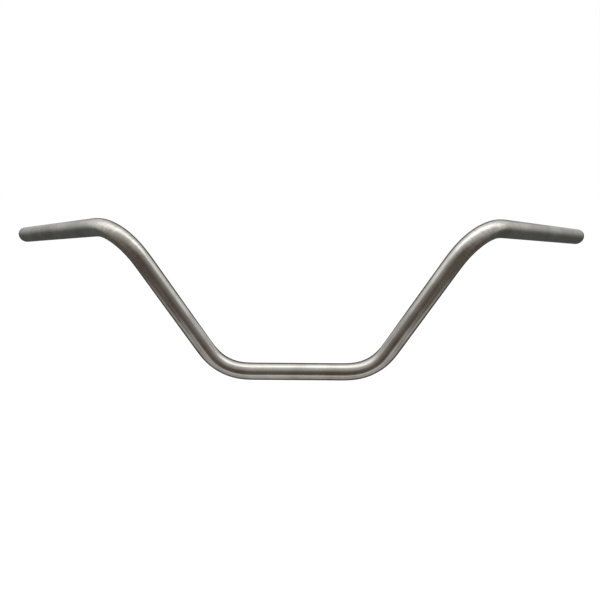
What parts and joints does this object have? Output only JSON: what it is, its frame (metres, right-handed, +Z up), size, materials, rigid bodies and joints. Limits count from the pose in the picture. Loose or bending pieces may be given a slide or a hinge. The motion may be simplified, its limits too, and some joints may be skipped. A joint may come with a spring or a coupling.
{
  "type": "motorcycle handlebar",
  "caption": "Wide motorcycle handlebar of bent steel tube: a straight clamp section, rising arms and long grip ends swept back to the rider, in bare satin metal.",
  "frame": {"origin": "middle of the straight clamp section, on the tube's centre line", "axes": "+X along the clamp section to the rider's left, +Y back to the rider, +Z up; the clamp section and both arms lie in the XZ plane"},
  "size_m": [0.8406, 0.1813, 0.2044],
  "materials": {
    "satin_steel": "satin, fine lines round the tube"
  },
  "bodies": {
    "root": {"handlebar_tube": "satin_steel"}
  },
  "joints": []
}
